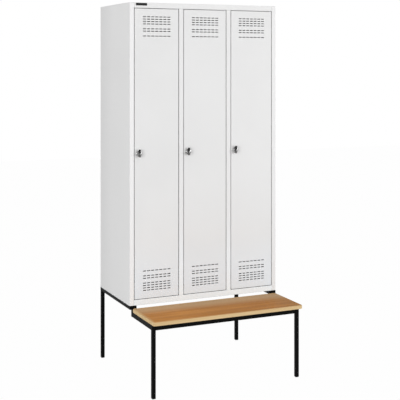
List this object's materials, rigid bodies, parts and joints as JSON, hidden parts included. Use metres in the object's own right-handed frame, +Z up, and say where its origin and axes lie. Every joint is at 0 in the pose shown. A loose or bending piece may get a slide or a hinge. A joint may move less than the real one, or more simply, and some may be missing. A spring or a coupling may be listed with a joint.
{
  "type": "mudroom locker unit",
  "caption": "Steel cloakroom locker with hinged vented doors, rotary padlock latches, hat shelves and sliding coat hooks, on a square-tube base with a wooden bench board in front.",
  "frame": {"origin": "on the floor, in the middle of the footprint of base and bench", "axes": "+Z up, -Y towards the person who opens the doors, +X to that person's right"},
  "size_m": [0.9, 0.828, 2.065],
  "materials": {
    "grey_sheet": "light grey powder coat, satin",
    "light_sheet": "light grey powder coat, satin",
    "door_sheet": "light grey powder coat, satin",
    "inner_sheet": "light grey powder coat, satin",
    "black_tube": "black powder coat, satin",
    "black_plastic": "moulded, matt",
    "beech_board": "beech, clear lacquer, satin",
    "zinc_fastener": "zinc plated",
    "zinc_steel": "zinc plated",
    "lock_chrome": "polished chrome plating",
    "lock_black": "black coating on die casting, semi-gloss"
  },
  "bodies": {
    "locker_frame": {"rear_leg_left": "black_tube", "front_leg_left": "black_tube", "upper_rail_left": "black_tube", "step_post_left": "black_tube", "bench_side_rail_left": "black_tube", "rear_leg_right": "black_tube", "front_leg_right": "black_tube", "upper_rail_right": "black_tube", "step_post_right": "black_tube", "bench_side_rail_right": "black_tube", "bench_front_rail": "black_tube", "bench_rear_rail": "black_tube", "rear_cross_rail": "black_tube", "rear_foot_plug_left": "black_plastic", "front_foot_plug_left": "black_plastic", "rear_foot_plug_right": "black_plastic", "front_foot_plug_right": "black_plastic", "seat_board": "beech_board", "seat_screw_1": "zinc_fastener", "seat_screw_2": "zinc_fastener", "seat_screw_3": "zinc_fastener", "seat_screw_4": "zinc_fastener", "body_bolt_1": "zinc_fastener", "body_bolt_2": "zinc_fastener", "body_bolt_3": "zinc_fastener", "body_bolt_4": "zinc_fastener", "side_panel_left": "grey_sheet", "side_panel_right": "grey_sheet", "back_panel": "grey_sheet", "roof_panel": "light_sheet", "floor_panel": "light_sheet", "middle_post_1": "light_sheet", "middle_post_2": "light_sheet", "partition_1": "inner_sheet", "partition_2": "inner_sheet", "hat_shelf_1": "inner_sheet", "hat_shelf_2": "inner_sheet", "hat_shelf_3": "inner_sheet", "blank_plate": "black_plastic", "coat_rail_1": "zinc_steel", "coat_rail_2": "zinc_steel", "coat_rail_3": "zinc_steel", "pivot_pin_1": "zinc_steel", "pivot_pin_2": "zinc_steel", "pivot_pin_3": "zinc_steel"},
    "door_leaf_1": {"door_1": "door_sheet", "lock_housing_1": "lock_chrome"},
    "lock_turn_1": {"lock_knob_1": "lock_black", "lock_cam_1": "zinc_steel"},
    "hook_slide_1": {"coat_hook_1": "black_plastic"},
    "door_leaf_2": {"door_2": "door_sheet", "lock_housing_2": "lock_chrome"},
    "lock_turn_2": {"lock_knob_2": "lock_black", "lock_cam_2": "zinc_steel"},
    "hook_slide_2": {"coat_hook_2": "black_plastic"},
    "door_leaf_3": {"door_3": "door_sheet", "lock_housing_3": "lock_chrome"},
    "lock_turn_3": {"lock_knob_3": "lock_black", "lock_cam_3": "zinc_steel"},
    "hook_slide_3": {"coat_hook_3": "black_plastic"}
  },
  "joints": [
    {"name": "door_hinge_1", "type": "hinge", "parent": "locker_frame", "child": "door_leaf_1", "pos_m": [-0.17067, -0.08, 1.24], "axis": [0, 0, 1], "range_deg": [0, 110]},
    {"name": "door_hinge_2", "type": "hinge", "parent": "locker_frame", "child": "door_leaf_2", "pos_m": [0.12167, -0.08, 1.24], "axis": [0, 0, 1], "range_deg": [0, 110]},
    {"name": "door_hinge_3", "type": "hinge", "parent": "locker_frame", "child": "door_leaf_3", "pos_m": [0.414, -0.08, 1.24], "axis": [0, 0, 1], "range_deg": [0, 110]},
    {"name": "lock_knob_turn_1", "type": "hinge", "parent": "door_leaf_1", "child": "lock_turn_1", "pos_m": [-0.396, -0.086, 1.241], "axis": [0, -1, 0], "range_deg": [0, 90]},
    {"name": "lock_knob_turn_2", "type": "hinge", "parent": "door_leaf_2", "child": "lock_turn_2", "pos_m": [-0.10367, -0.086, 1.241], "axis": [0, -1, 0], "range_deg": [0, 90]},
    {"name": "lock_knob_turn_3", "type": "hinge", "parent": "door_leaf_3", "child": "lock_turn_3", "pos_m": [0.18867, -0.086, 1.241], "axis": [0, -1, 0], "range_deg": [0, 90]},
    {"name": "hook_travel_1", "type": "slide", "parent": "locker_frame", "child": "hook_slide_1", "axis": [1, 0, 0], "range_m": [-0.137, 0.137]},
    {"name": "hook_travel_2", "type": "slide", "parent": "locker_frame", "child": "hook_slide_2", "axis": [1, 0, 0], "range_m": [-0.137, 0.137]},
    {"name": "hook_travel_3", "type": "slide", "parent": "locker_frame", "child": "hook_slide_3", "axis": [1, 0, 0], "range_m": [-0.148, 0.148]}
  ]
}
